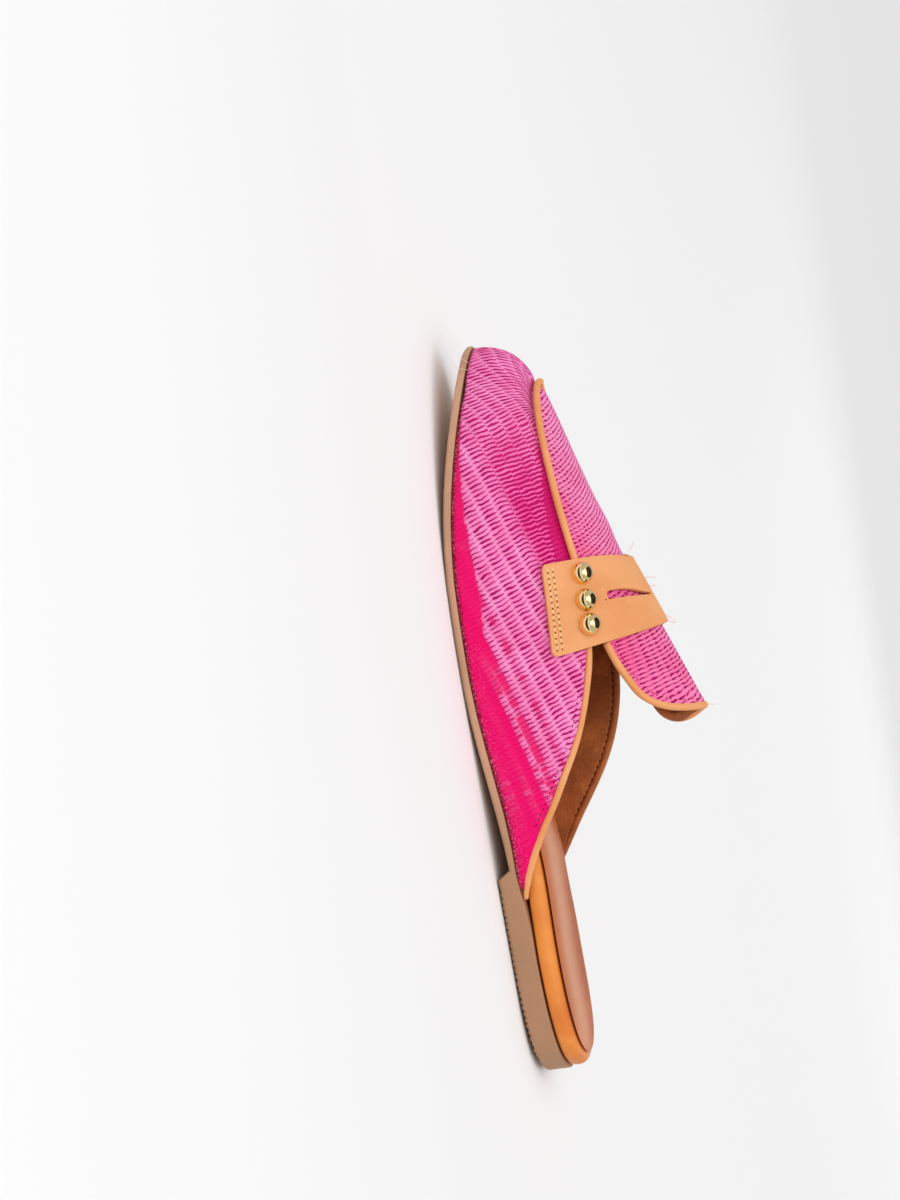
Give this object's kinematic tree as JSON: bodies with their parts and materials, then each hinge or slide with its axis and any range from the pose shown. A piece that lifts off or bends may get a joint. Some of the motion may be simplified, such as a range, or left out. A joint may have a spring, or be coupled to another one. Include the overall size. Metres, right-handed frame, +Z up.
{
  "type": "loafer mule",
  "caption": "Flat backless loafer mule for the left foot, woven upper with leather saddle strap, domed studs, padded insole and low-heeled rubber sole.",
  "frame": {"origin": "middle of the shoe's footprint on the floor, under its bounding box", "axes": "+Y towards the toe, -X towards the outer (lateral) side of the left foot, +Z up"},
  "size_m": [0.081, 0.265, 0.0801],
  "materials": {
    "moulded_rubber": "matt moulded",
    "footbed_leather": "smooth, wrapped edge",
    "sock_leather": "smooth, half gloss",
    "tan_leather": "smooth, half gloss",
    "woven_cloth": "coarse straw-like weave, leather lined",
    "polished_gold": "polished, pale gold"
  },
  "bodies": {
    "root": {"outsole": "moulded_rubber", "insole": "footbed_leather", "insole_sock": "sock_leather", "upper": "woven_cloth", "collar_binding_lateral": "tan_leather", "collar_binding_medial": "tan_leather", "tongue_binding": "tan_leather", "plug_piping": "tan_leather", "saddle_strap": "tan_leather", "stud_lateral_1": "polished_gold", "stud_lateral_2": "polished_gold", "stud_lateral_3": "polished_gold", "stud_medial_1": "polished_gold", "stud_medial_2": "polished_gold", "stud_medial_3": "polished_gold"}
  },
  "joints": []
}
